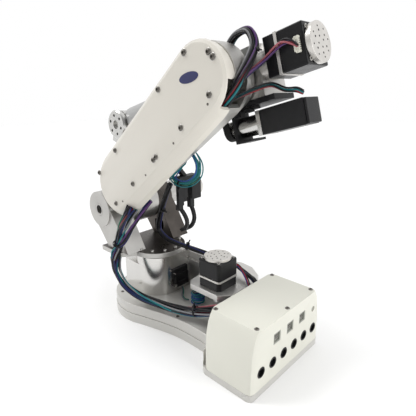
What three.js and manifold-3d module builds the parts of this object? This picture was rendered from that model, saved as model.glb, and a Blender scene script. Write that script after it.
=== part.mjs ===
// Desktop robot arm with six axes, a parked two-finger gripper and a connector box.
// Millimetres, +Z up. The origin is on the turning axis of the base, at its underside.
// +X points to the connector box, and the arm leans back over it at rest.
import * as THREE from 'three';
import { mergeVertices } from 'three/addons/utils/BufferGeometryUtils.js';
import Module from 'manifold-3d';

const wasm = await Module();
wasm.setup();

// ---------- driving dimensions ----------
const GAP = 0.3; // running and assembly gap between neighbours
const BASE = { radius: 75, seam: 15, top: 31, neck: 49.5, padStart: 176, padEnd: 257, padHalf: 80 };
const BOX = { x0: 181.5, x1: 257, top: 90, wall: 3 };
const BOX_SIDE = [[79.8, 9.8], [79.4, 40], [77.6, 62], [74.3, 76], [70, 85], [66, 90]]; // half width, height
const SOCKET = { z: 33.3, pitch: 24.3, firstY: -60, radius: 7.4, bore: 5.2 };
const PORT = { z: 65, pitch: 29.3, firstY: -28.4, side: 15 };
const COLUMN = { radius: 38, left: -42, shoulder: 82, top: 97 };
const DECK = { z0: 74, z1: 82.7, panelY: 35 };
const BASE_MOTOR = { x: 135, side: 42, z0: 83, band: 95, body: 98, cap: 123.5, disc: 127.5 };
const TURN = { radius: 45.6, z0: 101, top: 109 };
const SHOULDER = { x: -64, z: 170, boss: 29.2, inner: 30, outer: 64, face: 66, bore: 10.3 };
const HUB = { radius: 36, half: 29.5 };
const ARM = { length: 304, tilt: 51, floor: -36, split: -59.7, face: -77 };
const ELBOW_TILT = 15;
const WRIST = { reach: 222.6, half: 36, radius: 22, bend: 56 };
const MOTOR_LIFT = 9; // height of the roll motor's axis above the forearm's own axis
const LOWER_PLATE = { top: -27, low: -33 };
const SIDE_MOTOR = { q: -53.2, side: 28, x0: 28, cap: 84, end: 87 };
const BELT = { x0: -31, x1: -18, small: 11.2, large: 15.6, smallTeeth: 20, largeTeeth: 28 };
const GRIP = { x: 73, z: 221, y: 11.5, closing: 6 };

// ---------- materials ----------
const material = (color, roughness, metalness) =>
  new THREE.MeshStandardMaterial({ color, roughness, metalness });
const white = () => material(0xe9e7df, 0.45, 0);
const alloy = () => material(0xc4c5c6, 0.35, 0.9);
const dark = () => material(0x17181a, 0.5, 0.2);
const rubber = () => material(0x101214, 0.7, 0);
const teal = () => material(0x1f7f78, 0.55, 0);

// ---------- shape helpers ----------
function solid(geometry) {
  const bare = geometry.clone();
  bare.deleteAttribute('normal');
  bare.deleteAttribute('uv');
  const merged = mergeVertices(bare, 1e-4);
  return new wasm.Manifold(new wasm.Mesh({
    numProp: 3,
    vertProperties: new Float32Array(merged.attributes.position.array),
    triVerts: new Uint32Array(merged.index.array),
  }));
}

function toMesh(name, body, look) {
  const data = body.getMesh();
  const geometry = new THREE.BufferGeometry();
  geometry.setAttribute('position', new THREE.BufferAttribute(data.vertProperties, 3));
  geometry.setIndex(new THREE.BufferAttribute(data.triVerts, 1));
  geometry.computeVertexNormals();
  const mesh = new THREE.Mesh(geometry, look);
  mesh.name = name;
  return mesh;
}

const join = (...parts) => parts.reduce((a, b) => a.add(b));
const cut = (body, ...tools) => tools.reduce((a, b) => a.subtract(b), body);

function box(x0, x1, y0, y1, z0, z1) {
  const g = new THREE.BoxGeometry(x1 - x0, y1 - y0, z1 - z0);
  return solid(g.translate((x0 + x1) / 2, (y0 + y1) / 2, (z0 + z1) / 2));
}

// A round bar between two points of one axis: 'x', 'y' or 'z'.
function rod(axis, centre, radius, from, to, sides = 32) {
  const g = new THREE.CylinderGeometry(radius, radius, to - from, sides);
  if (axis === 'x') g.rotateZ(-Math.PI / 2);
  if (axis === 'z') g.rotateX(Math.PI / 2);
  const at = { x: [0, ...centre], y: [centre[0], 0, centre[1]], z: [...centre, 0] }[axis];
  at['xyz'.indexOf(axis)] = (from + to) / 2;
  return solid(g.translate(...at));
}

// A flat outline in X and Y, raised from z0 to z1.
function plateXY(outline, z0, z1, curveSegments = 10) {
  const shape = outline instanceof THREE.Shape ? outline : new THREE.Shape(outline.map(vec2));
  const g = new THREE.ExtrudeGeometry(shape, { depth: z1 - z0, bevelEnabled: false, curveSegments });
  return solid(g.translate(0, 0, z0));
}

// A flat outline in X and Z, spread from y0 to y1.
function plateXZ(outline, y0, y1, curveSegments = 10) {
  const shape = outline instanceof THREE.Shape ? outline : new THREE.Shape(outline.map(vec2));
  const g = new THREE.ExtrudeGeometry(shape, { depth: y1 - y0, bevelEnabled: false, curveSegments });
  return solid(g.rotateX(Math.PI / 2).translate(0, y1, 0));
}

const vec2 = ([a, b]) => new THREE.Vector2(a, b);
const vec3 = ([a, b, c]) => new THREE.Vector3(a, b, c);

// A stepped round body about the Y axis: [radius, y] pairs from axis to axis.
function turnedY(profile, x, z, sides = 40) {
  const g = new THREE.LatheGeometry(profile.map(vec2), sides);
  return solid(g.translate(x, 0, z));
}

// The outline around two circles on the Z axis, as points [x, z] that run anticlockwise.
function pill(low, lowRadius, high, highRadius, steps = 14) {
  const lean = Math.asin((highRadius - lowRadius) / (high - low));
  const points = [];
  for (let i = 0; i <= steps; i++) {
    const a = -lean + (Math.PI + 2 * lean) * (i / steps);
    points.push([highRadius * Math.cos(a), high + highRadius * Math.sin(a)]);
  }
  for (let i = 0; i <= steps; i++) {
    const a = Math.PI + lean + (Math.PI - 2 * lean) * (i / steps);
    points.push([lowRadius * Math.cos(a), low + lowRadius * Math.sin(a)]);
  }
  return points;
}

// A closed skin through rings of [x, z] points, one ring at each y, ends filled.
function loftY(rings) {
  const count = rings[0].points.length;
  const positions = rings.flatMap(({ y, points }) => points.flatMap(([x, z]) => [x, y, z]));
  const faces = [];
  for (let r = 0; r + 1 < rings.length; r++) {
    for (let i = 0; i < count; i++) {
      const j = (i + 1) % count;
      const [a, b, c, d] = [r * count + i, r * count + j, (r + 1) * count + i, (r + 1) * count + j];
      faces.push(a, d, b, a, c, d);
    }
  }
  const last = (rings.length - 1) * count;
  for (let i = 1; i + 1 < count; i++) {
    faces.push(0, i, i + 1);
    faces.push(last, last + i + 1, last + i);
  }
  const g = new THREE.BufferGeometry();
  g.setAttribute('position', new THREE.Float32BufferAttribute(positions, 3));
  g.setIndex(faces);
  return solid(g);
}

// A round tube along a smooth curve through hand-chosen points.
function tube(points, radius, steps, sides = 8) {
  const curve = new THREE.CatmullRomCurve3(points.map(vec3), false, 'centripetal');
  const section = new THREE.Shape();
  for (let i = 0; i < sides; i++) {
    const a = (2 * Math.PI * i) / sides;
    section[i ? 'lineTo' : 'moveTo'](radius * Math.cos(a), radius * Math.sin(a));
  }
  return solid(new THREE.ExtrudeGeometry(section, { steps, extrudePath: curve, bevelEnabled: false }));
}

// A toothed wheel about the X axis.
function toothedWheel(radius, teeth, depth, x0, x1) {
  const outline = [];
  for (let i = 0; i < teeth; i++) {
    [[0.1, radius], [0.4, radius], [0.6, radius - depth], [0.9, radius - depth]].forEach(([f, r]) => {
      const a = (2 * Math.PI * (i + f)) / teeth;
      outline.push([r * Math.cos(a), r * Math.sin(a)]);
    });
  }
  const shape = new THREE.Shape(outline.map(vec2));
  const g = new THREE.ExtrudeGeometry(shape, { depth: x1 - x0, bevelEnabled: false });
  return solid(g.rotateX(Math.PI / 2).rotateZ(Math.PI / 2).translate(x0, 0, 0));
}

const moved = (body, x, y, z) => body.translate([x, y, z]);

// ---------- base ----------
function baseOutline(inset = 0) {
  const r = BASE.radius - inset;
  const neck = BASE.neck - inset;
  const pad = BASE.padHalf - inset;
  const end = BASE.padEnd - inset;
  const shape = new THREE.Shape();
  shape.moveTo(r * Math.cos(1.13), r * Math.sin(1.13));
  shape.absarc(0, 0, r, 1.13, -1.13, false);
  shape.bezierCurveTo(75, -neck - 6, 95, -neck, 130, -neck);
  shape.lineTo(150, -neck);
  shape.quadraticCurveTo(166, -neck, 170, -neck - 12);
  shape.quadraticCurveTo(174, -pad, 186, -pad);
  shape.lineTo(end - 8, -pad);
  shape.quadraticCurveTo(end, -pad, end, -pad + 8);
  shape.lineTo(end, pad - 8);
  shape.quadraticCurveTo(end, pad, end - 8, pad);
  shape.lineTo(186, pad);
  shape.quadraticCurveTo(174, pad, 170, neck + 12);
  shape.quadraticCurveTo(166, neck, 150, neck);
  shape.lineTo(130, neck);
  shape.bezierCurveTo(95, neck, 75, neck + 6, r * Math.cos(1.13), r * Math.sin(1.13));
  return shape;
}

function basePlates() {
  const foot = plateXY(baseOutline(), 0, BASE.seam - GAP);
  const padRim = box(BOX.x0 - 4, 300, -100, 100, 9.5, 60);
  const upper = plateXY(baseOutline(0.8), BASE.seam, BASE.top);
  return [
    toMesh('base_foot_plate', foot.subtract(padRim), alloy()),
    toMesh('base_top_plate', upper.subtract(padRim), alloy()),
  ];
}

function baseColumn() {
  const r = COLUMN.radius;
  const z0 = BASE.top + GAP;
  const plan = new THREE.Shape();
  plan.moveTo(COLUMN.left, -r);
  plan.lineTo(0, -r);
  plan.absarc(0, 0, r, -Math.PI / 2, 0, false);
  plan.lineTo(r, r);
  plan.lineTo(COLUMN.left, r);
  const block = plateXY(plan, z0, COLUMN.shoulder, 12);
  const barrel = rod('z', [0, 0], r, COLUMN.shoulder - 1, COLUMN.top, 48);
  const corner = box(0, r, 0, r, COLUMN.shoulder - 1, COLUMN.top);
  return toMesh('base_column', join(block, barrel, corner), alloy());
}

function motorDeck() {
  const { z0, z1, panelY } = DECK;
  const x0 = COLUMN.radius + GAP;
  const outline = [
    [x0, panelY - 4], [92, panelY - 4], [98, -20], [106, -28], [158, -28], [172, -14], [172, 40],
    [164, 60], [140, 76], [118, 79], [100, 74], [70, 54], [x0, panelY + 9],
  ];
  const top = plateXY(outline, z0, z1 - GAP);
  const panel = box(x0, 112, panelY, panelY + 4, BASE.top + GAP, 95);
  const rearLeg = box(160, 166, -20, 44, BASE.top + GAP, z0 + 1);
  const sideLeg = box(104, 136, 42, 46, BASE.top + GAP, z0 + 1);
  const shaftHole = rod('z', [BASE_MOTOR.x, 0], 14, z0 - 5, z1 + 5, 24);
  return toMesh('motor_deck', cut(join(top, panel, rearLeg, sideLeg), shaftHole), alloy());
}

function baseMotor() {
  const m = BASE_MOTOR;
  const h = m.side / 2;
  const square = (half, z0, z1, corner) => {
    const c = half - corner;
    const outline = [
      [half, -c], [half, c], [c, half], [-c, half], [-half, c], [-half, -c], [-c, -half], [c, -half],
    ];
    return moved(plateXY(outline, z0, z1), m.x, 0, 0);
  };
  const spigot = rod('z', [m.x, 0], 13, DECK.z0 - 4, m.z0 + 1, 24);
  const pulley = rod('z', [m.x, 0], 9, 56, DECK.z0 - 5, 20);
  return [
    toMesh('base_motor_flange', join(square(h, m.z0, m.band - GAP, 5), spigot), dark()),
    toMesh('base_motor_band', square(h, m.band, m.body - GAP, 3), alloy()),
    toMesh('base_motor_body', square(h, m.body, m.cap - GAP, 4), dark()),
    toMesh('base_motor_cap', rod('z', [m.x, 0], 20, m.cap, m.disc, 36), alloy()),
    toMesh('base_motor_shaft', pulley, alloy()),
  ];
}

function limitSwitch() {
  const x0 = COLUMN.radius + GAP;
  const body = box(x0, x0 + 7, -2, 26, 42, 64);
  const bracket = box(x0, x0 + 3, -4, 28, 58, 73);
  const lever = box(x0 + 6.5, x0 + 11, 2, 20, 52, 53.4);
  return toMesh('limit_switch', join(body, bracket, lever), dark());
}

function boxShell(inset) {
  const x0 = BOX.x0 + inset;
  const x1 = BOX.x1 - inset;
  const c = 7;
  const rings = BOX_SIDE.map(([half, level], i) => {
    const h = half - inset;
    const z = i === 0 ? level - inset : level - (level > 80 ? inset : 0);
    return [
      [x0 + c, -h], [x1 - c, -h], [x1 - 2, -h + 2], [x1, -h + c], [x1, h - c], [x1 - 2, h - 2],
      [x1 - c, h], [x0 + c, h], [x0 + 2, h - 2], [x0, h - c], [x0, -h + c], [x0 + 2, -h + 2],
    ].map(([x, y]) => [x, y, z]);
  });
  const count = rings[0].length;
  const faces = [];
  for (let r = 0; r + 1 < rings.length; r++) {
    for (let i = 0; i < count; i++) {
      const j = (i + 1) % count;
      const [a, b, c, d] = [r * count + i, r * count + j, (r + 1) * count + i, (r + 1) * count + j];
      faces.push(a, b, d, a, d, c);
    }
  }
  const last = (rings.length - 1) * count;
  for (let i = 1; i + 1 < count; i++) {
    faces.push(0, i + 1, i);
    faces.push(last, last + i, last + i + 1);
  }
  const g = new THREE.BufferGeometry();
  g.setAttribute('position', new THREE.Float32BufferAttribute(rings.flat(2), 3));
  g.setIndex(faces);
  return solid(g);
}

function connectorBox() {
  const six = [0, 1, 2, 3, 4, 5].map((i) => SOCKET.firstY + i * SOCKET.pitch);
  const holes = six.map((y) => rod('x', [y, SOCKET.z], SOCKET.radius, 250, 262, 24));
  const half = PORT.side / 2;
  const windows = [0, 1, 2].map((i) => {
    const y = PORT.firstY + i * PORT.pitch;
    return box(250, 262, y - half, y + half, PORT.z - half, PORT.z + half);
  });
  const lamp = rod('x', [PORT.firstY + 3 * PORT.pitch - 0.5, PORT.z - 1], 4, 250, 262, 16);
  const bundleMouth = box(178, 190, -48, -8, 50, 80);
  const leadMouth = box(178, 190, 6, 52, 66, 86);
  const shell = cut(boxShell(0), boxShell(BOX.wall), ...holes, ...windows, lamp, bundleMouth, leadMouth);
  const x0 = BOX.x1 - BOX.wall - 8;
  const board = box(x0, x0 + 3, -66, 66, 50, 78);
  const strip = box(x0, BOX.x1 - BOX.wall - GAP, -68, 68, SOCKET.z - 10, SOCKET.z + 10);
  const bores = six.map((y) => rod('x', [y, SOCKET.z], SOCKET.bore, x0 + 2, BOX.x1, 16));
  const stand = box(x0 - 14, x0 + 1, -60, 60, 10, 54);
  return [
    toMesh('connector_box_cover', shell, white()),
    toMesh('connector_panel', cut(join(board, strip, stand), ...bores), dark()),
  ];
}

// ---------- turntable and shoulder brackets ----------
function turntable() {
  const disc = rod('z', [0, 0], TURN.radius, TURN.z0, TURN.top, 48);
  const bearing = rod('z', [0, 0], 34, COLUMN.top + GAP, TURN.z0 + 1, 40);
  const wings = plateXY([[-62, -68], [-12, -68], [6, -40], [6, 40], [-12, 68], [-62, 68]], TURN.z0, TURN.top);
  return toMesh('turntable', join(disc, bearing, wings), alloy());
}

function shoulderBracket(name, side) {
  const { x, z, boss, inner, outer, face, bore } = SHOULDER;
  const foot = TURN.top + GAP;
  const leg = [[x - 16, z - 20], [x + 16, foot], [6, foot], [-20, 153], [x + 22, z + 12], [x, z]];
  const low = side < 0 ? -outer : inner;
  const high = side < 0 ? -inner : outer;
  const bossLow = side < 0 ? -face : inner;
  const bossHigh = side < 0 ? -inner : face;
  const cheek = plateXZ(leg, low, high);
  const head = rod('y', [x, z], boss, bossLow, bossHigh, 40);
  const hole = rod('y', [x, z], bore, -80, 80, 28);
  const window = side < 0
    ? box(x + 22, x + 44, -50, -25, foot + 10, foot + 26)
    : box(x + 22, x + 44, 25, 50, foot + 10, foot + 26);
  return toMesh(name, cut(join(cheek, head), hole, window), alloy());
}

function shoulderMotor() {
  const { x, z, face } = SHOULDER;
  const flange = rod('y', [x, z], 24, face + GAP, face + 6, 32);
  const gearbox = rod('y', [x, z], 21, face + 5, face + 36, 32);
  const body = box(x - 21, x + 21, face + 36 + GAP, face + 84, z - 21, z + 21);
  const cap = rod('y', [x, z], 20, face + 84 + GAP, face + 90, 32);
  return [
    toMesh('shoulder_gearbox', join(flange, gearbox), alloy()),
    toMesh('shoulder_motor_body', body, dark()),
    toMesh('shoulder_motor_cap', cap, alloy()),
  ];
}

// ---------- upper arm: local Z runs from shoulder to elbow, local X to the lower side ----------
function upperArm() {
  const { length, floor, split, face } = ARM;
  const hub = rod('y', [0, 0], HUB.radius, -HUB.half, HUB.half, 44);
  const pin = rod('y', [0, 0], SHOULDER.bore - GAP, -SHOULDER.face, SHOULDER.face, 28);
  const web = box(-30, 30, -HUB.half, -20, 0, 100);
  const neck = box(-30, 30, floor - 2, -28, 44, 100);
  const outline = pill(74, 34, length, 42);
  const outer = plateXZ(outline, split + GAP, floor);
  const pocket = plateXZ(pill(74, 30, length, 37), split - 5, floor - 4);
  const mouth = box(20, 60, split - 5, floor - 5, 312, 338);
  const foot = box(-24, 24, split - 5, floor - 5, 30, 60);
  const bolts = [0, 1, 2, 3, 4, 5].map((i) => {
    const a = (i * Math.PI) / 3;
    return rod('y', [24 * Math.cos(a), length + 24 * Math.sin(a)], 3, floor - 8, floor + 1, 10);
  });
  const frame = cut(outer, pocket, mouth, foot, ...bolts);
  const hollow = rod('y', [0, 0], SHOULDER.bore - 3, -90, 90, 24);
  const body = join(frame, neck, web, hub, pin).subtract(hollow);

  const shellOuter = loftY([
    { y: face, points: pill(82, 33, 309, 35) },
    { y: face + 3, points: pill(82, 39, 307, 39.5) },
    { y: face + 9, points: pill(82, 46, 303, 43.5) },
    { y: split, points: pill(81, 50, 299, 45.5) },
  ]);
  const shellInner = loftY([
    { y: face + 3, points: pill(82, 33, 308, 34) },
    { y: face + 9, points: pill(82, 42, 304, 39.5) },
    { y: split + 1, points: pill(81, 47, 299, 42) },
  ]);
  const coverMouth = box(22, 70, face + 4.5, split + 2, 312, 338);
  const cover = cut(shellOuter, shellInner, coverMouth);
  return [toMesh('upper_arm_frame', body, alloy()), toMesh('upper_arm_cover', cover, white())];
}

// ---------- forearm: local X runs back along its axis, local Z up ----------
function elbowTurret() {
  const rings = [
    [0, ARM.floor + GAP], [38, ARM.floor + GAP], [38, -31], [35.5, -31], [35.5, -26],
    [34, -26], [34, -18], [13, -18], [13, -16.3], [0, -16.3],
  ];
  const reducer = turnedY(rings, 0, 0);
  const block = box(-16, 41.7, -16, 28, LOWER_PLATE.top + GAP, 30);
  const trim = box(-30, 6, -30, 60, 22, 60);
  const bore = rod('x', [0, 0], 9.4, -20, 18, 24);
  const plate = box(-16, 54, -17.7, 22, LOWER_PLATE.low, LOWER_PLATE.top);
  return [
    toMesh('elbow_reducer', reducer, alloy()),
    toMesh('elbow_turret', cut(block, trim, bore), alloy()),
    toMesh('elbow_lower_plate', plate, alloy()),
  ];
}

function rollMotor() {
  const z = MOTOR_LIFT;
  const square = (half, x0, x1) => box(x0, x1, -half, half, z - half, z + half);
  const plug = box(81, 91, -26, -21.4, z + 1, z + 15);
  return [
    toMesh('roll_motor_gearbox', rod('x', [0, z], 20.5, 42, 53, 36), alloy()),
    toMesh('roll_motor_flange', square(21, 53 + GAP, 66.7), dark()),
    toMesh('roll_motor_band', square(21.6, 67, 70.7), alloy()),
    toMesh('roll_motor_body', square(21, 71, 100), dark()),
    toMesh('roll_motor_cap', rod('x', [0, z], 20.5, 100 + GAP, 106.3, 36), alloy()),
    toMesh('roll_motor_plug', plug, white()),
  ];
}

function sideMotor() {
  const { q, side, x0, cap, end } = SIDE_MOTOR;
  const h = side / 2;
  const square = (half, a, b) => box(a, b, -half, half, q - half, q + half);
  const plate = box(-12, -8, -15, 15, q - 18, LOWER_PLATE.low - GAP);
  const lip = box(-9, 11, -15, 15, q - 18, q - 15);
  const shaftHole = rod('x', [0, q], 4, -16, 0, 16);
  return [
    toMesh('side_motor_bracket', cut(join(plate, lip), shaftHole), dark()),
    toMesh('side_motor_gearbox', join(rod('x', [0, q], 12, -7.7, 23, 28), square(h, 22.5, x0 - GAP)), alloy()),
    toMesh('side_motor_body', square(h, x0, cap - GAP), dark()),
    toMesh('side_motor_cap', square(h - 0.6, cap, end), dark()),
    toMesh('side_motor_pulley', join(
      moved(toothedWheel(BELT.small, BELT.smallTeeth, 1.1, BELT.x0, BELT.x1), 0, 0, q),
      rod('x', [0, q], 8, BELT.x1 - 1, -12.3, 24),
    ).subtract(rod('x', [0, q], 3, BELT.x0 - 3, -16, 12)), dark()),
  ];
}

function rollSensor() {
  const low = LOWER_PLATE.low - GAP;
  const board = box(-2, 26, -17.5, -6, low - 3.4, low);
  const eye = box(0, 9, -23, -13.5, low - 9, low - 3);
  const stop = box(15, 23, -23, -14, low - 6, low - 3);
  return toMesh('roll_sensor', join(board, eye, stop), dark());
}

function rollBelt() {
  const { x0, x1, small, large } = BELT;
  const { q } = SIDE_MOTOR;
  const outline = (grow) => pill(q, small + grow, 0, large + grow, 16);
  const across = (points) => {
    const shape = new THREE.Shape(points.map(vec2));
    const g = new THREE.ExtrudeGeometry(shape, { depth: x1 - x0 - 3, bevelEnabled: false });
    return solid(g.rotateX(Math.PI / 2).rotateZ(Math.PI / 2).translate(x0 + 1.5, 0, 0));
  };
  return toMesh('roll_belt', cut(across(outline(1.9)), across(outline(GAP))), rubber());
}

// ---------- roll link of the forearm ----------
function rollLink() {
  const { x0, x1, large, largeTeeth } = BELT;
  const wheel = toothedWheel(large, largeTeeth, 1.1, x0, x1);
  const sleeve = join(rod('x', [0, 0], 17, -120, -36, 32), rod('x', [0, 0], 9, -37, 14, 24));
  const bore = rod('x', [0, 0], 6, -140, 30, 20);
  const collar = rod('x', [0, 0], 24, -56, -42, 32);
  const section = [];
  for (let i = 0; i < 28; i++) {
    const a = (2 * Math.PI * (i + 0.5)) / 28;
    const reach = 1 / Math.hypot(Math.cos(a) / 31, Math.sin(a) / 24);
    section.push([reach * Math.cos(a), reach * Math.sin(a)]);
  }
  const shell = (shape, a, b) => {
    const g = new THREE.ExtrudeGeometry(new THREE.Shape(shape.map(vec2)), { depth: b - a, bevelEnabled: false });
    return solid(g.rotateX(Math.PI / 2).rotateZ(Math.PI / 2).translate(a, 0, 0));
  };
  const knuckleClear = rod('y', [-WRIST.reach, 0], WRIST.radius + 1, -60, 60, 36);
  const cover = shell(section, -208, -104);
  const inside = shell(section.map(([a, b]) => [a * 0.9, b * 0.88]), -204, -108);
  const through = rod('x', [0, 0], 17 + GAP, -120, -90, 32);
  const vent = rod('x', [0, 0], 10, -212, -200, 20);
  const ear = rod('y', [-WRIST.reach, 0], 20.5, -19.4, 19.4, 36);
  const tongue = box(-WRIST.reach, -186, -19.4, 19.4, -15, 15);
  const pinHole = rod('y', [-WRIST.reach, 0], 7.3, -40, 40, 24);
  const spar = box(-190, -120.3, -12, 12, -10, 10);
  return [
    toMesh('forearm_pulley', wheel.subtract(rod('x', [0, 0], 9 + GAP, -60, 0, 24)), alloy()),
    toMesh('forearm_tube', sleeve.subtract(bore), alloy()),
    toMesh('forearm_collar', collar.subtract(rod('x', [0, 0], 17 + GAP, -60, 0, 32)), alloy()),
    toMesh('forearm_cover', cut(cover, inside, through, vent, knuckleClear, box(-215, -180, -19.8, 19.8, -15.4, 15.4)), white()),
    toMesh('wrist_tongue', cut(join(ear, tongue, spar), pinHole), alloy()),
  ];
}

// ---------- wrist: local -Z runs along the tool axis ----------
function wrist() {
  const { half, radius } = WRIST;
  const disc = (side) => {
    const profile = [
      [0, 19.7], [radius - 1, 19.7], [radius - 1, 27], [radius - 3, 27], [radius - 3, 30],
      [radius, 30], [radius, half - 2], [radius - 2, half], [0, half],
    ];
    const body = turnedY(profile, 0, 0, 40);
    const holes = [0, 1, 2, 3, 4, 5].map((i) => {
      const a = (i * Math.PI) / 3;
      return rod('y', [14 * Math.cos(a), 14 * Math.sin(a)], 2.2, half - 5, half + 2, 10);
    });
    holes.push(rod('y', [0, 0], 6.5, half - 4, half + 2, 20));
    const right = cut(body, ...holes);
    return side > 0 ? right : right.rotate([180, 0, 0]);
  };
  const pin = rod('y', [0, 0], 7, -24, 24, 24);
  const fork = (side) => box(-16, 16, side > 0 ? 19.7 : -27, side > 0 ? 27 : -19.7, -33, 0);
  const yoke = box(-16, 16, -27, 27, -33, -23.5);
  const tool = rod('z', [0, 0], 17, -60, -32, 32);
  return [
    toMesh('wrist_fork', join(disc(1), disc(-1), pin, fork(1), fork(-1), yoke, tool), alloy()),
    toMesh('tool_flange', cut(
      join(rod('z', [0, 0], 15.5, -67, -60 - GAP, 32), rod('z', [0, 0], 8, -72, -66, 24)),
      ...[0, 1, 2, 3].map((i) => {
        const a = Math.PI / 4 + (i * Math.PI) / 2;
        return rod('z', [11.5 * Math.cos(a), 11.5 * Math.sin(a)], 1.6, -70, -62, 10);
      }),
    ), alloy()),
  ];
}

// ---------- parked gripper under the upper arm, in the frame of the whole robot ----------
function gripper() {
  const { x, z, y } = GRIP;
  const arc = [[x - 43, -31, z + 61], [x - 24, -22, z + 46], [x - 7, -8, z + 24], [x - 1, 0, z + 10]];
  const hanger = tube(arc, 4.6, 12, 10);
  const head = box(x - 6, x + 6, -18, 18, z + 4, z + 14);
  const rail = box(x - 3, x + 3, -21, 21, z + 2, z + 5);
  const hook = (side, drop) => {
    const g = new THREE.CatmullRomCurve3([
      [x - 4, side * y, z - 33], [x + 4, side * (y - 2), z - 42], [x + 8, side * (y - 4), z - 53],
      [x + 3, side * (y - 6), z - 65], [x - 10, side * (y - 8.5), z - 72 - drop],
    ].map(vec3), false, 'centripetal');
    const section = new THREE.Shape([[-2.4, -2.4], [2.4, -2.4], [2.4, 2.4], [-2.4, 2.4]].map(vec2));
    return solid(new THREE.ExtrudeGeometry(section, { steps: 14, extrudePath: g, bevelEnabled: false }));
  };
  const finger = (name, side, width, low) => {
    const carriage = box(x - 4, x + width - 4, side * y - 5, side * y + 5, low, z + 2 - GAP);
    const toe = box(x - 7, x + 1, side * y - 4, side * y + 4, z - 37, low + 1);
    return toMesh(name, join(carriage, toe, hook(side, side > 0 ? 1 : 0)), dark());
  };
  return {
    fixed: [toMesh('gripper_hanger', join(hanger, head, rail), dark())],
    moving: [finger('gripper_finger_left', -1, 6, z - 30), finger('gripper_finger_right', 1, 10, z - 22)],
  };
}

// ---------- cable bundles ----------
function cables() {
  const shoulderRun = [[27, -76, 178], [12, -76, 152], [-1, -76, 126], [-8, -76, 110]];
  const baseRun = [
    [-12, -76, 96], [-9, -76, 79], [8, -74, 62], [35, -66, 50], [68, -56, 46],
    [93, -49, 46], [120, -41, 49], [145, -36, 57], [163, -34, 65], [174, -34, 69],
  ];
  const sleeveRun = [
    [63, -21.2, 224], [45, -16.5, 200], [25, -11, 169], [11, -5, 140], [20, -3, 128],
    [37, 0, 122], [63, 10, 116], [87, 20, 110],
  ];
  const sleeveBase = [
    [99, 26, 106], [112, 34, 101], [134, 41, 95], [152, 38, 92.5], [166, 36, 89.5], [171.5, 35, 88.4], [175, 34.5, 86.4],
  ];
  const elbowLoop = [
    [218, -30, 350], [217, -28, 372], [213, -26, 392], [208, -25, 406], [198, -25, 414],
    [186, -23, 412], [179, -14, 402],
  ];
  const rollLeads = [[255, -29, 397], [246, -30, 396], [232, -30, 386], [224, -31, 372], [223, -34, 356]];
  const sideLeads = [[224, -25, 349], [232, -22, 354], [248, -16, 353], [260, -9, 350]];
  const baseLeads = [[141, 24.5, 108], [149, 30, 104], [160, 28, 97], [169, 25, 90], [175, 23, 84]];
  const gripLead = [
    [113, -29, 272], [126, -28, 265], [131, -28, 255], [125, -28, 243], [110, -28, 234],
    [90, -28, 231], [72, -28, 237],
  ];
  const top = BASE.top;
  const switchLead = [[44, 12, 39], [52, 6, 35], [62, -4, 34.5], [72, -8, 34.5], [79, -8, 35]];
  const coil = new THREE.TorusGeometry(9, 2.4, 8, 24);
  return [
    toMesh('arm_cable_bundle', tube(shoulderRun, 6.5, 12, 10), rubber()),
    toMesh('base_cable_bundle', tube(baseRun, 6.5, 30, 10), rubber()),
    toMesh('arm_cable_sleeve', tube(sleeveRun, 4.2, 22, 10), rubber()),
    toMesh('base_cable_sleeve', tube(sleeveBase, 4.2, 12, 10), rubber()),
    toMesh('elbow_cable_loop', tube(elbowLoop, 4.2, 18, 10), rubber()),
    toMesh('roll_motor_leads', tube(rollLeads, 2, 12), rubber()),
    toMesh('side_motor_leads', tube(sideLeads, 1.8, 12), rubber()),
    toMesh('base_motor_leads', tube(baseLeads, 2, 10), rubber()),
    toMesh('gripper_lead', tube(gripLead, 3.2, 18, 8), teal()),
    toMesh('switch_lead', tube(switchLead, 1.5, 12), teal()),
    toMesh('switch_lead_coil', moved(solid(coil), 89, 4, top + 2.8), teal()),
  ];
}

// ---------- assembly ----------
function group(children, place = {}) {
  const g = new THREE.Group();
  g.add(...children);
  if (place.position) g.position.set(...place.position);
  if (place.turn) g.rotation.y = THREE.MathUtils.degToRad(place.turn);
  return g;
}

const tilt = THREE.MathUtils.degToRad(ARM.tilt);
const elbow = [
  SHOULDER.x + ARM.length * Math.sin(tilt), 0, SHOULDER.z + ARM.length * Math.cos(tilt),
];
const hand = gripper();
const robot = new THREE.Group();
robot.name = 'robot_arm';
robot.add(
  group([...basePlates(), baseColumn(), motorDeck(), ...baseMotor(), limitSwitch(), ...connectorBox()]),
  group([turntable(), shoulderBracket('shoulder_bracket_left', -1), shoulderBracket('shoulder_bracket_right', 1)]),
  group(shoulderMotor()),
  group(upperArm(), { position: [SHOULDER.x, 0, SHOULDER.z], turn: ARM.tilt }),
  group([...hand.fixed, ...hand.moving]),
  group([
    ...elbowTurret(), ...rollMotor(), ...sideMotor(), rollSensor(), rollBelt(), ...rollLink(),
    group(wrist(), { position: [-WRIST.reach, 0, 0], turn: 90 - WRIST.bend }),
  ], { position: elbow, turn: -ELBOW_TILT }),
  group(cables()),
);

export default robot;
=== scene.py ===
import math
import random

import bpy
from mathutils import Matrix, Vector


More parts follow.
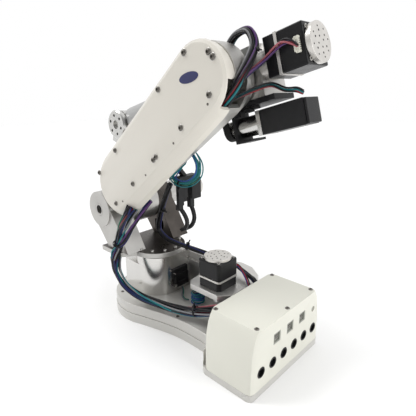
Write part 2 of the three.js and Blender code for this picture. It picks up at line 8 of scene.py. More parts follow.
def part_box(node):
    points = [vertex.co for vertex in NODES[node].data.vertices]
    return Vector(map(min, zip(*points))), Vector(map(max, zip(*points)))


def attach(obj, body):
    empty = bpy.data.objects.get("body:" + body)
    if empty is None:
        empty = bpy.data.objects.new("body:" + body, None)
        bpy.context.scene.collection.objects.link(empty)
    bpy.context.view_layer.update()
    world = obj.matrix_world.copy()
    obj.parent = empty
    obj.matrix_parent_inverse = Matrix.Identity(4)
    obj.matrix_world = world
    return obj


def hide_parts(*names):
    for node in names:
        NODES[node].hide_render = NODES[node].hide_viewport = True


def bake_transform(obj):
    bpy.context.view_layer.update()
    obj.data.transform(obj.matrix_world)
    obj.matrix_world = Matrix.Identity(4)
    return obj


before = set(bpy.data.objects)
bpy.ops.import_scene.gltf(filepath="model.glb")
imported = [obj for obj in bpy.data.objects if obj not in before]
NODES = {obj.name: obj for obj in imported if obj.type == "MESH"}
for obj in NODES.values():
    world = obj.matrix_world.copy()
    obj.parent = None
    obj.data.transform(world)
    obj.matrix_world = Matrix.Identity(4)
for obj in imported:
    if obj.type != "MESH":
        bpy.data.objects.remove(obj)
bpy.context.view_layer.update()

MM = 0.001
ROUGH_SPREAD = 0.08

# ---------- measures shared with the CAD, in millimetres ----------
SHOULDER = (-64.0, 0.0, 170.0)
ARM_TILT = 51.0
ARM_LENGTH = 304.0
ELBOW = (172.25, 0.0, 361.31)
FOREARM_TILT = 15.0
WRIST_REACH = 222.6
WRIST_TURN = 34.0
COVER_FACE = -77.0
BOX_FRONT = 257.0
DECK_TOP = 109.0
BASE_MOTOR = (135.0, 0.0, 127.5)
ROLL_MOTOR_Q = 9.0
ROLL_MOTOR_FRONT = 100.0
ROLL_DISC_END = 106.3
BOX_TOP = 90.0
SOCKET_Y = [-60.0 + 24.3 * i for i in range(6)]
SOCKET_Z = 33.3
PORT_Y = [-28.4 + 29.3 * i for i in range(3)]
PORT_Z = 65.0


# ---------- camera ----------
def make_camera():
    position = Vector((469.7, -372.5, 352.9)) * MM
    yaw, pitch, roll = 2.336, 0.295, -0.013
    forward = Vector((math.cos(yaw) * math.cos(pitch), math.sin(yaw) * math.cos(pitch), -math.sin(pitch)))
    right = Vector((math.sin(yaw), -math.cos(yaw), 0))
    up = right.cross(forward)
    right, up = (math.cos(roll) * right + math.sin(roll) * up,
                 math.cos(roll) * up - math.sin(roll) * right)
    data = bpy.data.cameras.new("camera")
    data.lens = 32.98
    data.sensor_width = 36.0
    data.shift_x = 0.006
    data.shift_y = -0.005
    data.clip_start = 0.01
    camera = bpy.data.objects.new("camera", data)
    camera.matrix_world = Matrix.Translation(position) @ Matrix((right, up, -forward)).transposed().to_4x4()
    bpy.context.scene.collection.objects.link(camera)
    bpy.context.scene.camera = camera


make_camera()


# ---------- frames of the tilted parts ----------
def turned(origin, degrees):
    return (Matrix.Translation(Vector(origin)) @ Matrix.Rotation(math.radians(degrees), 4, "Y"))


ARM = turned(SHOULDER, ARM_TILT)
FOREARM = turned(ELBOW, -FOREARM_TILT)
WRIST = FOREARM @ Matrix.Translation((-WRIST_REACH, 0, 0)) @ Matrix.Rotation(math.radians(WRIST_TURN), 4, "Y")


# ---------- mesh building, in millimetres ----------
class Build:
    """Gathers closed shapes into one mesh."""

    def __init__(self):
        self.verts = []
        self.faces = []
        self.kinds = []

    def add(self, shape, place=None, kind=0):
        verts, faces = shape
        first = len(self.verts)
        for v in verts:
            v = Vector(v)
            self.verts.append(place @ v if place else v)
        self.faces += [[i + first for i in f] for f in faces]
        self.kinds += [kind] * len(faces)
        return self

    def finish(self, name, materials, body=None, slot=None, angle=35, bevel=0.0):
        mesh = bpy.data.meshes.new(name)
        mesh.from_pydata([v * MM for v in self.verts], [], self.faces)
        mesh.polygons.foreach_set("material_index", self.kinds)
        for m in materials if isinstance(materials, (list, tuple)) else [materials]:
            mesh.materials.append(m)
        mesh.validate()
        mesh.polygons.foreach_set("use_smooth", [True] * len(mesh.polygons))
        mesh.set_sharp_from_angle(angle=math.radians(angle))
        obj = bpy.data.objects.new(name, mesh)
        bpy.context.scene.collection.objects.link(obj)
        if bevel:
            add_bevel(obj, bevel)
        if body:
            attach(obj, body)
        return obj


def add_bevel(obj, width, segments=2):
    mod = obj.modifiers.new("edges", "BEVEL")
    mod.width = width * MM
    mod.segments = segments
    mod.limit_method = "ANGLE"
    mod.angle_limit = math.radians(32)
    mod.harden_normals = True


def lathe(profile, sides=24):
    """A body round Z from (radius, z) pairs. A third item makes that ring a hexagon."""
    rings = []
    verts = []
    for radius, z, *six in profile:
        if radius == 0:
            rings.append([len(verts)])
            verts.append((0, 0, z))
            continue
        ring = []
        for i in range(sides):
            a = 2 * math.pi * i / sides
            r = radius
            if six:
                r = radius * math.cos(math.pi / 6) / math.cos((a % (math.pi / 3)) - math.pi / 6)
            ring.append(len(verts))
            verts.append((r * math.cos(a), r * math.sin(a), z))
        rings.append(ring)
    faces = []
    for low, high in zip(rings, rings[1:]):
        for i in range(sides):
            j = (i + 1) % sides
            if len(low) == 1:
                faces.append((low[0], high[j], high[i]))
            elif len(high) == 1:
                faces.append((low[i], low[j], high[0]))
            else:
                faces.append((low[i], low[j], high[j], high[i]))
    return verts, faces


def block(x0, x1, y0, y1, z0, z1):
    verts = [(x, y, z) for z in (z0, z1) for x, y in ((x0, y0), (x1, y0), (x1, y1), (x0, y1))]
    faces = [(3, 2, 1, 0), (4, 5, 6, 7), (0, 1, 5, 4), (1, 2, 6, 5), (2, 3, 7, 6), (3, 0, 4, 7)]
    return verts, faces


def spline(points, steps):
    """Points on a smooth curve through the given ones."""
    p = [Vector(v) for v in points]
    p = [p[0] * 2 - p[1]] + p + [p[-1] * 2 - p[-2]]
    out = []
    for a, b, c, d in zip(p, p[1:], p[2:], p[3:]):
        for i in range(steps):
            t = i / steps
            out.append(0.5 * ((2 * b) + (c - a) * t + (2 * a - 5 * b + 4 * c - d) * t * t
                              + (3 * b - a - 3 * c + d) * t ** 3))
    out.append(p[-2])
    return out


def frames(path):
    """Tangent and two side directions at every point, with no sudden twist."""
    tangents = [(b - a).normalized() for a, b in zip([path[0]] + path[:-1], path[1:] + [path[-1]])]
    side = tangents[0].orthogonal().normalized()
    out = []
    for t in tangents:
        side = (side - t * side.dot(t)).normalized()
        out.append((t, side, t.cross(side)))
    return out


def tube(path, radius, sides=8):
    verts, faces = [], []
    count = len(path)
    for point, (_, a, b) in zip(path, frames(path)):
        for k in range(sides):
            w = 2 * math.pi * k / sides
            verts.append(point + a * (radius * math.cos(w)) + b * (radius * math.sin(w)))
    for i in range(count - 1):
        for k in range(sides):
            n, m = (k + 1) % sides, (i + 1) * sides
            faces.append((i * sides + k, i * sides + n, m + n, m + k))
    faces.append(tuple(range(sides))[::-1])
    faces.append(tuple(range((count - 1) * sides, count * sides)))
    return verts, faces


def facing(at, direction, spin=0.0):
    """Places a shape that was made along +Z at a point, pointing in a direction."""
    turn = Vector((0, 0, 1)).rotation_difference(Vector(direction))
    return Matrix.Translation(Vector(at)) @ turn.to_matrix().to_4x4() @ Matrix.Rotation(spin, 4, "Z")


def cap_screw(radius, height):
    """A socket head screw that stands on Z 0."""
    r, h = radius, height
    return lathe([(0, -1.5), (r * 0.6, -1.5), (r * 0.6, 0), (r, 0), (r, h * 0.82), (r * 0.9, h),
                  (r * 0.58, h, 1), (r * 0.54, h * 0.35, 1), (0, h * 0.3)], 24)


def button_screw(radius, height):
    """A domed screw with a hexagonal recess that stands on Z 0."""
    r, h = radius, height
    return lathe([(0, -1.5), (r * 0.6, -1.5), (r * 0.6, 0), (r, 0), (r * 0.98, h * 0.3), (r * 0.8, h * 0.8),
                  (r * 0.56, h), (r * 0.46, h, 1), (r * 0.42, h * 0.2, 1), (0, h * 0.15)], 24)


def washer(outer, inner, height):
    return lathe([(inner, 0), (outer, 0), (outer, height * 0.8), (outer - 0.2, height),
                  (inner, height), (inner, 0)], 24)


# ---------- materials ----------
def shader(name, colour, rough, metal=0.0, vary=0.05, grain=60.0, bump=0.03, bump_scale=900.0,
           stretch=(1, 1, 1), coat=0.0, specks=0.0, spec=0.5):
    """A procedural surface: cloudy colour, uneven roughness and a fine relief, from noise."""
    m = bpy.data.materials.new(name)
    m.use_nodes = True
    tree = m.node_tree
    nodes, link = tree.nodes, tree.links.new
    nodes.clear()
    out = nodes.new("ShaderNodeOutputMaterial")
    bsdf = nodes.new("ShaderNodeBsdfPrincipled")
    link(bsdf.outputs["BSDF"], out.inputs["Surface"])
    coords = nodes.new("ShaderNodeTexCoord")
    mapping = nodes.new("ShaderNodeMapping")
    mapping.inputs["Scale"].default_value = stretch
    link(coords.outputs["Object"], mapping.inputs["Vector"])

    def noise_node(scale, detail):
        n = nodes.new("ShaderNodeTexNoise")
        n.inputs["Scale"].default_value = scale
        n.inputs["Detail"].default_value = detail
        link(mapping.outputs["Vector"], n.inputs["Vector"])
        return n.outputs["Fac"]

    cloud = noise_node(grain, 4)
    fine = noise_node(bump_scale, 3)
    ramp = nodes.new("ShaderNodeValToRGB")
    ramp.color_ramp.elements[0].position = 0.3
    ramp.color_ramp.elements[1].position = 0.7
    ramp.color_ramp.elements[0].color = [max(0.0, c * (1 - vary)) for c in colour] + [1]
    ramp.color_ramp.elements[1].color = [min(1.0, c * (1 + vary)) for c in colour] + [1]
    link(cloud, ramp.inputs["Fac"])
    last = ramp.outputs["Color"]
    if specks:
        spots = nodes.new("ShaderNodeTexVoronoi")
        spots.inputs["Scale"].default_value = 420.0
        link(mapping.outputs["Vector"], spots.inputs["Vector"])
        edge = nodes.new("ShaderNodeMapRange")
        edge.inputs["From Min"].default_value = 0.05
        edge.inputs["From Max"].default_value = 0.16
        edge.inputs["To Min"].default_value = specks
        edge.inputs["To Max"].default_value = 0.0
        link(spots.outputs["Distance"], edge.inputs["Value"])
        mix = nodes.new("ShaderNodeMix")
        mix.data_type = "RGBA"
        mix.inputs["B"].default_value = [c * 0.45 for c in colour] + [1]
        link(edge.outputs["Result"], mix.inputs["Factor"])
        link(last, mix.inputs["A"])
        last = mix.outputs["Result"]
    link(last, bsdf.inputs["Base Color"])
    spread = nodes.new("ShaderNodeMapRange")
    spread.inputs["To Min"].default_value = max(0.02, rough - ROUGH_SPREAD)
    spread.inputs["To Max"].default_value = min(1.0, rough + ROUGH_SPREAD)
    link(cloud, spread.inputs["Value"])
    link(spread.outputs["Result"], bsdf.inputs["Roughness"])
    relief = nodes.new("ShaderNodeBump")
    relief.inputs["Strength"].default_value = bump
    relief.inputs["Distance"].default_value = 0.0006
    link(fine, relief.inputs["Height"])
    link(relief.outputs["Normal"], bsdf.inputs["Normal"])
    bsdf.inputs["Metallic"].default_value = metal
    bsdf.inputs["Coat Weight"].default_value = coat
    bsdf.inputs["Specular IOR Level"].default_value = spec
    bsdf.inputs["Coat Roughness"].default_value = 0.2
    return m


COVER = shader("cover_white", (0.665, 0.635, 0.57), 0.34,
               vary=0.012, grain=9, bump=0.05, bump_scale=420, coat=0.15)
BOX_WHITE = shader("box_white", (0.69, 0.685, 0.61), 0.42,
                   vary=0.015, grain=11, bump=0.07, bump_scale=700, coat=0.08)
BASE_WHITE = shader("base_grey", (0.56, 0.55, 0.52), 0.3, 0.15,
                    vary=0.03, grain=14, bump=0.05, bump_scale=500, coat=0.2)
CAST = shader("blasted_alloy", (0.50, 0.49, 0.47), 0.38, 0.9, vary=0.08, grain=35, bump=0.25,
              bump_scale=1600, specks=0.25)
BRUSHED = shader("brushed_column", (0.66, 0.65, 0.63), 0.2, 1.0, vary=0.05, grain=30, bump=0.12,
                 bump_scale=900, stretch=(1, 1, 0.05))
SHEET = shader("brushed_sheet", (0.60, 0.59, 0.57), 0.34, 0.85, vary=0.05, grain=40, bump=0.14,
               bump_scale=800, stretch=(0.06, 1, 1), specks=0.2)
TURNED = shader("turned_alloy", (0.58, 0.575, 0.56), 0.2, 1.0, vary=0.05, grain=90, bump=0.1, bump_scale=2200)
DISC = shader("plated_disc", (0.62, 0.60, 0.57), 0.34, 0.75, vary=0.05, grain=120, bump=0.12, bump_scale=1500)
SHELL = shader("forearm_grey", (0.40, 0.40, 0.395), 0.3, 0.9, vary=0.05, grain=50, bump=0.1,
               bump_scale=900, stretch=(0.1, 1, 1))
# Painted shade: a near-black alloy for metal faces that lie in shade and mirror dark surroundings, the
# turntable top and the right shoulder bracket.
SHADE_ALLOY = shader("painted_shade_alloy", (0.085, 0.075, 0.068), 0.3, 0.85, vary=0.2, grain=40, bump=0.2,
                bump_scale=1400, specks=0.3)
MOTOR = shader("motor_black", (0.007, 0.007, 0.008), 0.34, vary=0.25, grain=80, bump=0.2,
               bump_scale=1200, spec=0.28)
DARK = shader("black_plastic", (0.008, 0.008, 0.009), 0.45,
              vary=0.25, grain=90, bump=0.15, bump_scale=1300, spec=0.28)
BELT = shader("belt_black", (0.008, 0.008, 0.008), 0.6,
              vary=0.2, grain=200, bump=0.3, bump_scale=2400, spec=0.2)
# Painted shade: near-black flat discs set on motor and gearbox faces in place of real holes, for the shade
# inside them.
HOLE_SHADE = shader("painted_hole_shade", (0.003, 0.003, 0.003), 0.8, vary=0.2, grain=200, bump=0.05, spec=0.1)
IVORY = shader("ivory_plastic", (0.70, 0.69, 0.60), 0.42, vary=0.03, grain=60, bump=0.06)
STEEL = shader("screw_steel", (0.50, 0.49, 0.47), 0.26, 0.95, vary=0.08, grain=500, bump=0.1, bump_scale=2600)
SCREW = shader("screw_dark", (0.15, 0.14, 0.125), 0.34, 0.9, vary=0.15, grain=500, bump=0.1, bump_scale=2600)
MARK = shader("mark_blue", (0.018, 0.022, 0.10), 0.4, vary=0.1, grain=120, bump=0.05)
LAMP = shader("lamp_grey", (0.36, 0.37, 0.33), 0.25, vary=0.05, grain=200, bump=0.02, coat=0.3)
PORT = shader("port_grey", (0.30, 0.30, 0.265), 0.4, vary=0.08, grain=200, bump=0.05)
WIRE = {
    name: shader("wire_" + name, colour, 0.4, vary=0.08, grain=300, bump=0.06, bump_scale=2000, spec=0.35)
    for name, colour in {
        "black": (0.007, 0.007, 0.009), "navy": (0.012, 0.016, 0.085), "teal": (0.008, 0.16, 0.18),
        "red": (0.28, 0.02, 0.03), "purple": (0.08, 0.03, 0.13), "grey": (0.20, 0.20, 0.21),
        "blue": (0.025, 0.07, 0.30), "green": (0.01, 0.16, 0.10),
        "pink": (0.36, 0.10, 0.12),
    }.items()
}
TIE = shader("tie_black", (0.008, 0.008, 0.009), 0.4, vary=0.2, grain=300, bump=0.05, spec=0.3)


# ---------- CAD nodes that keep their shape ----------
def dress(names, look, bevel=0.5, segments=2):
    for name in names.split():
        obj = NODES[name]
        mesh = obj.data
        custom = mesh.attributes.get("custom_normal")
        if custom:
            mesh.attributes.remove(custom)
        mesh.materials.clear()
        mesh.materials.append(look)
        mesh.polygons.foreach_set("use_smooth", [True] * len(mesh.polygons))
        weld = obj.modifiers.new("weld", "WELD")
        weld.merge_threshold = 1e-5
        flat = obj.modifiers.new("flat", "DECIMATE")
        flat.decimate_type = "DISSOLVE"
        flat.angle_limit = math.radians(1.0)
        if bevel:
            add_bevel(obj, bevel, segments)


def second_look(name, look, test):
    """Gives the faces whose centre passes the test another material."""
    mesh = NODES[name].data
    mesh.materials.append(look)
    for face in mesh.polygons:
        if test(face.center / MM, face.normal):
            face.material_index = 1


dress("base_foot_plate", BASE_WHITE, 1.2, 3)
dress("base_top_plate", BASE_WHITE, 1.6, 3)
dress("connector_box_cover", BOX_WHITE, 1.6, 3)
dress("upper_arm_cover", COVER, 1.6, 3)
dress("upper_arm_frame", CAST, 0.5)
dress("base_column", BRUSHED, 1.2, 3)
dress("motor_deck", SHEET, 0.5)
dress("turntable shoulder_bracket_left shoulder_gearbox", CAST, 0.6)
# Painted shade: the turntable's upward faces get the dark alloy, for the shade and dark reflections under the
# arm.
second_look("turntable", SHADE_ALLOY, lambda c, n: n.z > 0.9)
# Painted shade: the right bracket is painted dark for the shade and dark reflections on its inner side.
dress("shoulder_bracket_right", SHADE_ALLOY, 0.6)
dress("elbow_reducer elbow_turret wrist_tongue", CAST, 0.5)
dress("elbow_lower_plate side_motor_bracket", DARK, 0.5)
dress("wrist_fork tool_flange forearm_collar", TURNED, 0.5)
dress("forearm_tube forearm_pulley side_motor_pulley base_motor_shaft side_motor_gearbox", TURNED, 0.3)
dress("forearm_cover", SHELL, 0.5)
dress("base_motor_body shoulder_motor_body roll_motor_body", MOTOR, 1.6, 3)
dress("side_motor_body side_motor_cap roll_motor_flange base_motor_flange", MOTOR, 1.0, 2)
dress("base_motor_cap shoulder_motor_cap roll_motor_cap", DISC, 0.5)
dress("base_motor_band roll_motor_band roll_motor_gearbox", DISC, 0.4)
dress("connector_panel limit_switch roll_sensor gripper_hanger", DARK, 0.3)
dress("gripper_finger_left gripper_finger_right", DARK, 0.4)
dress("roll_belt", BELT, 0.2)


# ---------- screws and small fittings ----------
def screws(name, body, head, places, look, ring=None, ring_look=None):
    """One mesh of equal screws. Each place is (point, direction)."""
    build = Build()
    for i, (at, direction) in enumerate(places):
        spot = facing(at, direction, 0.7 * i)
        lift = Matrix.Translation(Vector(direction).normalized() * (ring[2] if ring else 0))
        build.add(head, lift @ spot)
        if ring:
            build.add(washer(*ring), spot, 1)
    return build.finish(name, [look, ring_look or look], body)


def arm_point(x, y, s):
    return ARM @ Vector((x, y, s))


ARM_OUT = (0, -1, 0)
cover_left = [(-32.3, s) for s in (66, 126, 253, 311)]
cover_right = [(23.3, s) for s in (70, 128, 188.4, 195.2, 255.5, 312)]
cover_top = [(-8.8, 337.5), (-1.4, 338.9)]
screws("cover_screws", "upper_arm", button_screw(3.3, 1.5),
       [(arm_point(x, COVER_FACE - 0.05, s), ARM_OUT) for x, s in cover_left + cover_right],
       SCREW, (4.0, 2.2, 0.7), STEEL)
screws("cover_top_screws", "upper_arm", button_screw(3.3, 1.5),
       [(arm_point(x, COVER_FACE - 0.05, s), ARM_OUT) for x, s in cover_top], SCREW, (3.9, 2.2, 0.7), STEEL)
seam_out = (ARM.to_3x3() @ Vector((0.35, -1, 0))).normalized()
screws("seam_screws", "upper_arm", button_screw(1.5, 0.7),
       [(arm_point(29.2, COVER_FACE + 0.1, s), seam_out) for s in (87.4, 160.8, 233.3, 304.4)], SCREW)

box_screws = [(187, -62), (187, 62), (250, -61.5), (250, 62), (252, 0)]
screws("box_screws", "base", button_screw(2.7, 1.1),
       [((x, y, BOX_TOP - 0.1), (0, 0, 1)) for x, y in box_screws],
       SCREW, (3.3, 1.8, 0.5), STEEL)
screws("base_screws", "base", button_screw(2.6, 0.9),
       [((x, y, 31), (0, 0, 1))
        for x, y in ((-28, -58), (95, -45), (-45, 48), (95, 45), (160, -44), (160, 44))], SCREW)
turn_ring = [(-38 * math.cos(a), 38 * math.sin(a)) for a in [math.radians(22.5 + 30 * i) for i in range(12)]]
screws("turntable_screws", "turret", cap_screw(2.7, 3.2),
       [((x, y, DECK_TOP), (0, 0, 1)) for x, y in turn_ring if x > -4], STEEL)
screws("panel_screws", "base", button_screw(1.9, 0.8),
       [((x, 35, z), (0, -1, 0)) for x, z in ((66, 84), (71, 84), (75, 70), (92, 86), (98, 60))], SCREW)

sockets = Build()
for y in SOCKET_Y:
    sockets.add(lathe([(5.3, -3), (7.1, -3), (7.1, 0.2), (6.7, 0.6), (5.7, 0.6), (5.3, 0.2), (5.3, -3)], 32),
                facing((BOX_FRONT, y, SOCKET_Z), (1, 0, 0)))
sockets.finish("socket_rims", DARK, "base", "black_plastic")
HALF, REACH = 7.3, 5.9
port_frames = Build()
for y in PORT_Y:
    for a, b, c, d in ((-HALF, HALF, -HALF, -REACH), (-HALF, HALF, REACH, HALF),
                       (-HALF, -REACH, -REACH, REACH), (REACH, HALF, -REACH, REACH)):
        port_frames.add(block(BOX_FRONT - 4, BOX_FRONT - 0.4, y + a, y + b, PORT_Z + c, PORT_Z + d))
port_frames.finish("port_frames", LAMP, "base", "black_plastic")
port_backs = Build()
for y in PORT_Y:
    port_backs.add(block(BOX_FRONT - 4.2, BOX_FRONT - 3.1, y - REACH, y + REACH,
                         PORT_Z - REACH, PORT_Z + REACH))
    for k in (-3, -1, 1, 3):
        contact = block(BOX_FRONT - 3.1, BOX_FRONT - 1.6, y + k - 0.3, y + k + 0.3,
                        PORT_Z - 3.4, PORT_Z + 1.6)
        port_backs.add(contact, None, 1)
port_backs.finish("port_backs", [PORT, STEEL], "base", "black_plastic")
Build().add(lathe([(0, -3), (3.7, -3), (3.7, -0.6), (2.7, 0.2), (0, 0.4)], 24),
            facing((BOX_FRONT - 1.2, 59, 64), (1, 0, 0))).finish("box_lamp", PORT, "base", "white_plastic")

# A plain oval mark stands where the photographed arm carries a printed sign.
mark = Build()
mark.add(lathe([(0, -0.2), (7, -0.2), (7, 0.25), (0, 0.3)], 36),
         ARM @ Matrix.Translation((-9, COVER_FACE - 0.1, 300)) @ Matrix.Rotation(math.radians(90), 4, "X")
         @ Matrix.Rotation(math.radians(62), 4, "Z") @ Matrix.Diagonal((2.1, 0.8, 1, 1)))
mark.finish("cover_mark", MARK, "upper_arm", "white_cover")


# ---------- motor end discs and their plugs ----------
# Each hole is drawn as a thin black disc on the face: painted shade in place of a real hollow.
def disc_holes(name, body, place, rings):
    build = Build()
    for radius, count, hole, start in rings:
        for i in range(count):
            a = math.radians(start) + 2 * math.pi * i / count
            build.add(lathe([(0, -0.3), (hole, -0.3), (hole, 0.06), (hole * 0.8, 0.08), (0, 0.05)], 12),
                      place @ Matrix.Translation((radius * math.cos(a), radius * math.sin(a), 0)))
    return build.finish(name, HOLE_SHADE, body)


HOLE_RINGS = [(5.5, 4, 1.0, 20), (11, 6, 1.1, 8), (15.2, 8, 0.9, 12)]
disc_holes("base_motor_holes", "base", facing(BASE_MOTOR, (0, 0, 1)), HOLE_RINGS)
disc_holes("roll_motor_holes", "forearm",
           FOREARM @ facing((ROLL_DISC_END, 0, ROLL_MOTOR_Q), (1, 0, 0)), HOLE_RINGS)
cap_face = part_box("shoulder_motor_cap")[1].y / MM
disc_holes("shoulder_motor_holes", "turret",
           facing((SHOULDER[0], cap_face, SHOULDER[2]), (0, 1, 0)), HOLE_RINGS)

ring_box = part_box("shoulder_gearbox")
ring_half = (ring_box[1].z - ring_box[0].z) / 2 / MM
disc_holes("shoulder_gearbox_holes", "turret",
           facing((SHOULDER[0], ring_box[0].y / MM, SHOULDER[2]), (0, -1, 0)),
           [(ring_half * 0.66, 8, ring_half * 0.085, 10)])
motor_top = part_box("base_motor_body")[1].z / MM
CORNERS = [(a, b) for a in (-15.5, 15.5) for b in (-15.5, 15.5)]
screws("base_motor_screws", "base", cap_screw(2.3, 1.6),
       [((BASE_MOTOR[0] + a, b, motor_top), (0, 0, 1)) for a, b in CORNERS], STEEL)
along = (FOREARM.to_3x3() @ Vector((1, 0, 0)))
screws("roll_motor_screws", "forearm", cap_screw(2.3, 1.4),
       [(FOREARM @ Vector((ROLL_MOTOR_FRONT, a, ROLL_MOTOR_Q + b)), along) for a, b in CORNERS], STEEL)
low, high = [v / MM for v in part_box("limit_switch")]
pins = Build()
for k in (0.25, 0.5, 0.75):
    x = low.x + k * (high.x - low.x)
    pins.add(block(x - 0.4, x + 0.4, low.y - 1.2, low.y + 2, low.z + 2, low.z + 7))
pins.add(block(low.x + 2, high.x - 2, low.y - 0.9, low.y + 0.4, high.z - 5, high.z - 4.3))
pins.finish("switch_pins", STEEL, "base")

plug = Build().add(block(91, 95.8, -24.6, -21.05, 1.4, 17), FOREARM)
plug.add(block(90.2, 92, -25.6, -21.05, 2.6, 15.8), FOREARM)
for k in range(6):
    plug.add(block(95.6, 96.4, -23.9, -22.3, 3.2 + 2 * k, 4.4 + 2 * k), FOREARM, 1)
    plug.add(block(92.6, 95, -24.9, -24.5, 3.4 + 2 * k, 4.2 + 2 * k), FOREARM, 0)
plug = plug.finish("roll_motor_connector", [IVORY, STEEL], "forearm", "white_plastic", bevel=0.25)
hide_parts("roll_motor_plug")


def lay(route, count, spread, radius, seed, twist=0.6, steps=7):
    """Wires that run beside each other along one route: a list of paths."""
    rng = random.Random(seed)
    path = spline(route, steps)
    around = frames(path)
    paths = []
    for k in range(count):
        base = rng.uniform(0, 2 * math.pi)
        out = spread * math.sqrt((k + 0.5) / count)
        wander = [rng.uniform(-1, 1) for _ in range(4)]
        wire = []
        for i, (point, (_, a, b)) in enumerate(zip(path, around)):
            t = i / (len(path) - 1)
            w = base + 2 * math.pi * twist * t + 0.9 * wander[0] * math.sin(5 * t + 3 * wander[1])
            r = out * (1 + 0.25 * wander[2] * math.sin(7 * t + 4 * wander[3]))
            wire.append(point + a * (r * math.cos(w)) + b * (r * math.sin(w)))
        paths.append((wire, radius))
    return paths


def harness(name, route, colours, spread, radius, seed, body=None, twist=0.6, steps=7, slot="cable_black"):
    """A bundle as one mesh, one colour per wire."""
    looks = sorted(set(colours))
    build = Build()
    for colour, (wire, r) in zip(colours, lay(route, len(colours), spread, radius, seed, twist, steps)):
        build.add(tube(wire, r, 7), None, looks.index(colour))
    return build.finish(name, [WIRE[c] for c in looks], body, slot, 60)


def tie(name, body, at, direction, radius, tail=(0, 0, 1), width=2.4):
    """A cable tie round a bundle, with its head and its cut tail."""
    build = Build()
    place = facing(at, direction)
    build.add(lathe([(radius, -width / 2), (radius + 0.9, -width / 2), (radius + 0.9, width / 2),
                     (radius, width / 2), (radius, -width / 2)], 24), place)
    out = Vector(tail).normalized()
    head = Vector(at) + out * (radius + 1.2)
    build.add(block(-2.2, 2.2, -1.8, 1.8, -1.4, 1.8), facing(head, out))
    build.add(block(-0.5, 0.5, -1.1, 1.1, 0, 8), facing(head, (out + Vector(direction) * 0.3).normalized()))
    return build.finish(name, TIE, body)


MAIN = """black navy black black teal black red black purple black navy black
black green black purple black pink black black navy grey black teal""".split()
shoulder_route = [(35, -70, 194), (28, -75, 180), (13, -77, 156),
                  (2, -77, 130), (-5, -77, 116), (-9, -76.5, 106)]
base_route = [(-9, -76.5, 106), (-11.5, -76, 94), (-9, -76, 79), (8, -74, 62), (35, -66, 50), (68, -56, 46),
              (93, -49, 46), (120, -41, 49), (145, -36, 57), (163, -34, 65), (174, -34, 69), (188, -33, 68)]
upper_wires = harness("harness_upper", shoulder_route, MAIN, 7.2, 1.25, 3, twist=0.25, steps=10)
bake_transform(upper_wires)
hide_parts("arm_cable_bundle")
lower_wires = harness("harness_lower", base_route, MAIN, 6.8, 1.25, 3, twist=0.5, steps=10)
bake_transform(lower_wires)
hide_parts("base_cable_bundle")

branch_route = [(50.9, -50, 204), (41, -60, 186), (31, -70, 165), (15, -75, 140), (5, -79, 128)]
branch = harness("harness_branch", branch_route,
                 ["navy", "black", "purple", "black", "navy", "purple", "black", "teal"],
                 3.6, 1.5, 8, twist=0.3, steps=10)
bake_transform(branch)

SLEEVE = ["black", "black", "black", "black", "black", "navy", "black", "black", "black", "black"]
sleeve_arm_route = [(63, -21.2, 224), (45, -16.5, 200), (25, -11, 169), (11, -5, 140), (20, -3, 128),
                    (37, 0, 122), (63, 10, 116), (87, 20, 110), (99, 26, 106)]
sleeve_arm = harness("sleeve_arm", sleeve_arm_route, SLEEVE, 3.3, 1.45, 14, "turret", 0.5, 9)
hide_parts("arm_cable_sleeve")
sleeve_base_route = [(99, 26, 106), (112, 34, 101), (134, 41, 95), (152, 38, 92.5), (166, 36, 89.5),
                     (171.5, 35, 88.4), (175, 34.5, 86.4), (188, 33, 78)]
sleeve_base = harness("sleeve_base", sleeve_base_route, SLEEVE, 3.3, 1.45, 15, "base", 0.3, 9)
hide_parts("base_cable_sleeve")

elbow_route = [(179, -27, 394), (181, -30, 400), (189.5, -30, 408), (203, -30, 411), (211, -30, 404.5),
               (214, -31, 394), (217, -43, 379), (219, -57, 365), (213, -61, 352), (202, -60, 341),
               (190, -56, 333)]
elbow_wires = harness("elbow_loop", elbow_route,
                      ["black", "black", "grey", "black", "black", "navy", "black", "red", "black",
                       "teal", "black", "purple", "black", "grey", "black", "black"],
                      4.6, 1.2, 12, None, 0.35, 8)
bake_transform(elbow_wires)
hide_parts("elbow_cable_loop")
motor_route = [(262.3, -23.6, 394.5), (257, -26, 397), (249, -27, 397.6), (241, -27, 394), (226, -27, 382),
               (216, -46, 366), (209, -59, 352), (200, -62, 341), (190, -58, 333)]
motor_wires = harness("roll_motor_wires", motor_route,
                      ["navy", "red", "black", "black", "purple", "black", "pink"], 2.6, 1.0, 5, None, 0.4, 8)
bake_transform(motor_wires)
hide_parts("roll_motor_leads")
side_wires = harness("side_motor_wires", [(263, -12, 350), (255, -12, 353), (242, -12, 353), (225, -14, 358),
                                          (216, -32, 353), (209, -50, 346), (200, -60, 339), (190, -58, 332)],
                     ["teal", "navy", "black", "black", "red", "black"], 2.3, 1.0, 6, None, 0.4, 8)
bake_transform(side_wires)
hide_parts("side_motor_leads")
leads_route = [(141, 24.5, 108), (149, 30, 104), (160, 28, 97), (169, 25, 90), (175, 23, 84), (188, 22, 78)]
base_leads = harness("base_motor_wires", leads_route,
                     ["red", "blue", "black", "black"], 1.7, 1.0, 4, "base", 0.3, 8)
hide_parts("base_motor_leads")
grip_wires = harness("gripper_wires", [(106, -31, 282), (118, -28, 276), (128.5, -28, 262), (126, -28, 247),
                                       (111, -28, 235), (91, -28, 231), (76, -28, 236), (84, -28, 248),
                                       (101, -29, 262)],
                     ["teal", "green", "teal", "teal", "green", "teal", "blue", "teal"],
                     5.2, 0.9, 9, "upper_arm", 0.6, 9, "cable_teal")
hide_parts("gripper_lead")
switch_route = [(44, 12, 39), (52, 6, 35), (62, -4, 34.5), (72, -8, 34.5), (79, -7, 35.5)]
switch_wires = harness("switch_wires", switch_route,
                       ["purple", "green", "grey"], 1.7, 0.8, 10, "base", 0.4, 8, "cable_teal")
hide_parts("switch_lead")
coil = Build()
coil_rng = random.Random(21)
COIL_TURNS, COIL_STEPS, COIL_RADIUS, COIL_RISE = 5, 180, 9.6, 16
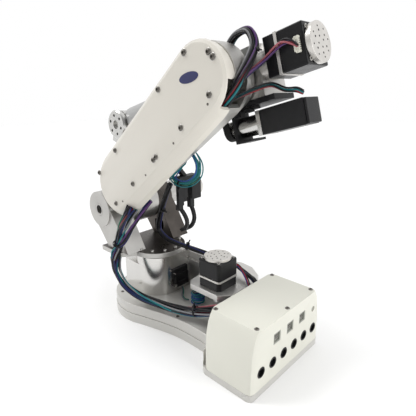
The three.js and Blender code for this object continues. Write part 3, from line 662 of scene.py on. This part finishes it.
for k in range(2):
    wind = []
    for i in range(COIL_STEPS + 1):
        t = i / COIL_STEPS
        a = math.pi * k + 2 * math.pi * COIL_TURNS * t
        r = COIL_RADIUS + 0.9 * math.sin(1.3 * a + 2 * k) + 0.5 * coil_rng.uniform(-0.1, 0.1)
        rise = 33 + COIL_RISE * t + 0.9 * math.sin(0.7 * a + k)
        wind.append(Vector((89 + r * math.cos(a), 4 + r * math.sin(a), rise)))
    coil.add(tube(wind, 0.85, 7), None, k)
coil = coil.finish("switch_coil", [WIRE["teal"], WIRE["blue"]], "base", "cable_teal", 60)
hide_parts("switch_lead_coil")

tie("tie_harness", "turret", (3, -78, 132), (-0.35, 0, -1), 7.6, (0.6, -1, 0.2))
tie("tie_elbow", "forearm", (213.5, -30, 392), (-0.1, 0, -1), 4.9, (1, -0.4, 0.1))
tie("tie_base", "base", (128, -39.5, 51), (1, 0.2, 0.3), 7.2, (-0.1, -0.3, 1))
tie("tie_sleeve", "turret", (29, -10.5, 176), (-0.5, 0, -1), 4.5, (1, -0.2, 0.1))
tie("tie_tail", "turret", (62, 10, 116.3), (1, 0.4, -0.25), 4.5, (0.2, 0, 1))
tie("tie_gripper", "upper_arm", (91, -28, 231), (-1, 0, 0.1), 3.9, (0, -0.3, -1))


# ---------- light and floor ----------
def area(name, at, target, size, power, colour=(1, 1, 1)):
    data = bpy.data.lights.new(name, "AREA")
    data.energy = power
    data.size = size
    data.color = colour
    lamp = bpy.data.objects.new(name, data)
    lamp.location = at
    lamp.rotation_euler = (Vector(target) - Vector(at)).to_track_quat("-Z", "Y").to_euler()
    bpy.context.scene.collection.objects.link(lamp)


def sun(name, toward, strength, spread):
    data = bpy.data.lights.new(name, "SUN")
    data.energy = strength
    data.angle = math.radians(spread)
    lamp = bpy.data.objects.new(name, data)
    lamp.rotation_euler = Vector(toward).to_track_quat("Z", "Y").to_euler()
    bpy.context.scene.collection.objects.link(lamp)


sun("key", (-0.75, -0.45, 1.0), 1.2, 25)
area("fill", (1.5, 0.1, 0.7), (0.2, 0, 0.1), 0.9, 9)
world = bpy.data.worlds.new("studio")
bpy.context.scene.world = world
world.use_nodes = True
sky = world.node_tree
view_dir = sky.nodes.new("ShaderNodeTexCoord")
split = sky.nodes.new("ShaderNodeVectorMath")
split.operation = "DOT_PRODUCT"
split.inputs[1].default_value = (-0.62, 0.62, 0.48)
ramp = sky.nodes.new("ShaderNodeValToRGB")
ramp.color_ramp.elements[0].position = 0.28
ramp.color_ramp.elements[0].color = (0.36, 0.36, 0.36, 1)
ramp.color_ramp.elements[1].position = 0.62
ramp.color_ramp.elements[1].color = (1, 1, 1, 1)
lift = sky.nodes.new("ShaderNodeMapRange")
lift.inputs["From Min"].default_value = -1.0
sky.links.new(view_dir.outputs["Generated"], split.inputs[0])
sky.links.new(split.outputs["Value"], lift.inputs["Value"])
sky.links.new(lift.outputs["Result"], ramp.inputs["Fac"])
sky.links.new(ramp.outputs["Color"], sky.nodes["Background"].inputs["Color"])
sky.nodes["Background"].inputs["Strength"].default_value = 1.0
bpy.context.scene.view_settings.view_transform = "Standard"

FLOOR = 4000
floor_corners = [(-FLOOR, -FLOOR, 0), (FLOOR, -FLOOR, 0), (FLOOR, FLOOR, 0), (-FLOOR, FLOOR, 0)]
floor = Build().add((floor_corners, [(0, 1, 2, 3)]))
floor_look = shader("floor_white", (0.93, 0.93, 0.93), 0.7, vary=0.004, grain=3, bump=0.01, spec=0.1)
floor = floor.finish("floor", floor_look)
